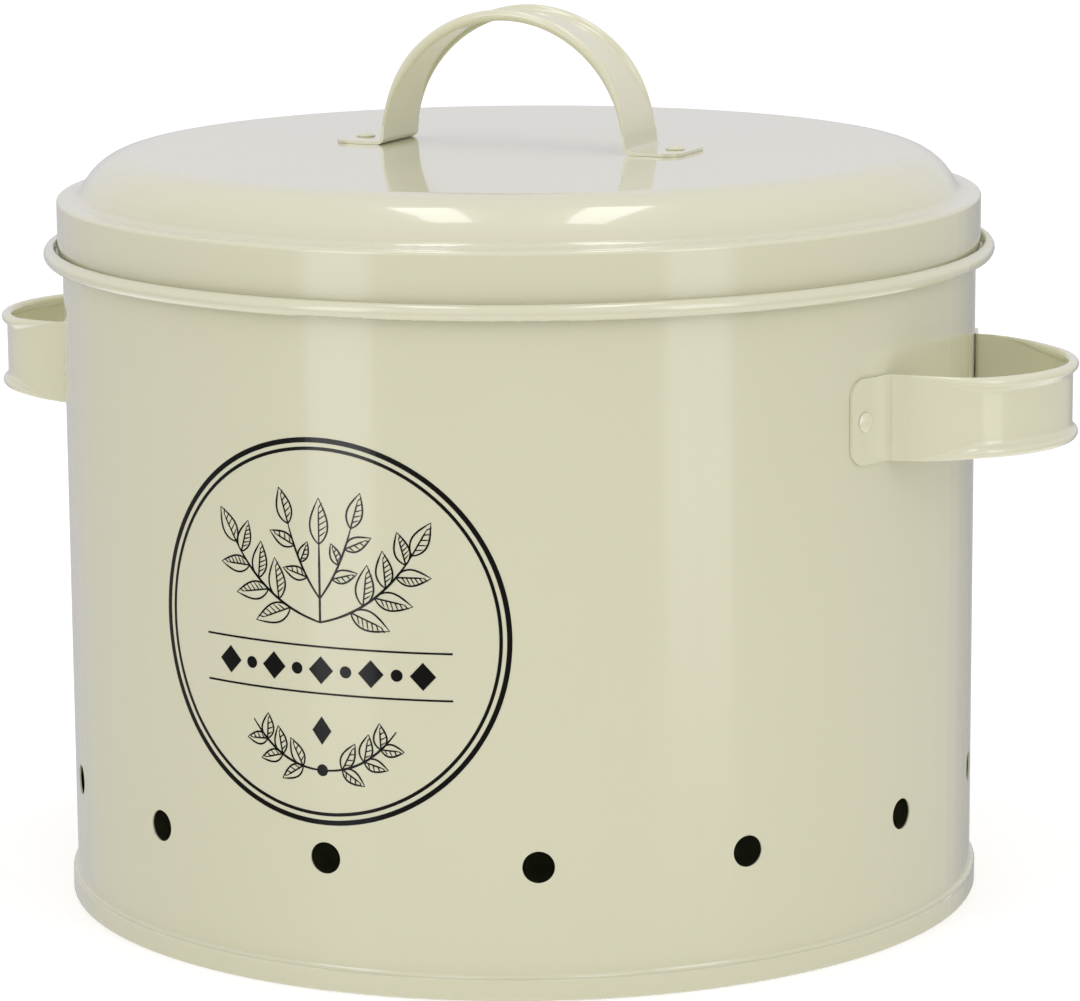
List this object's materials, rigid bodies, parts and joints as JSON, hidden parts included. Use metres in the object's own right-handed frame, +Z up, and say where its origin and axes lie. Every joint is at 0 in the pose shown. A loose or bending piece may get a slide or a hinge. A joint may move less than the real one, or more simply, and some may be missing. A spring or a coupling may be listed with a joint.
{
  "type": "potato storage bin",
  "caption": "Round enamelled steel storage bin with vents near the foot, two strap handles on the sides and a lift-off lid with a strap handle on top.",
  "frame": {"origin": "centre of the foot, on the surface that the bin stands on", "axes": "+Z up through the middle of the lid, +X through one side handle, the front with the printed medallion towards -Y"},
  "size_m": [0.3044, 0.2498, 0.2329],
  "materials": {
    "drum_enamel": "gloss cream enamel with a dark printed medallion on the front",
    "base_enamel": "gloss cream enamel",
    "handle_enamel": "gloss cream enamel",
    "lid_enamel": "gloss cream enamel",
    "collar_enamel": "gloss cream enamel",
    "rivet_enamel": "gloss cream enamel over the rivet"
  },
  "bodies": {
    "root": {"body_wall": "drum_enamel", "base_plate": "base_enamel", "side_handle_right": "handle_enamel", "side_handle_left": "handle_enamel", "right_front_rivet": "rivet_enamel", "right_rear_rivet": "rivet_enamel", "left_front_rivet": "rivet_enamel", "left_rear_rivet": "rivet_enamel"},
    "lid": {"lid_shell": "lid_enamel", "lid_collar": "collar_enamel", "lid_handle": "handle_enamel", "lid_right_rivet": "rivet_enamel", "lid_left_rivet": "rivet_enamel"}
  },
  "joints": [
    {"name": "lid_lift", "type": "slide", "parent": "root", "child": "lid", "axis": [0, 0, 1], "range_m": [0, 0.1]}
  ]
}
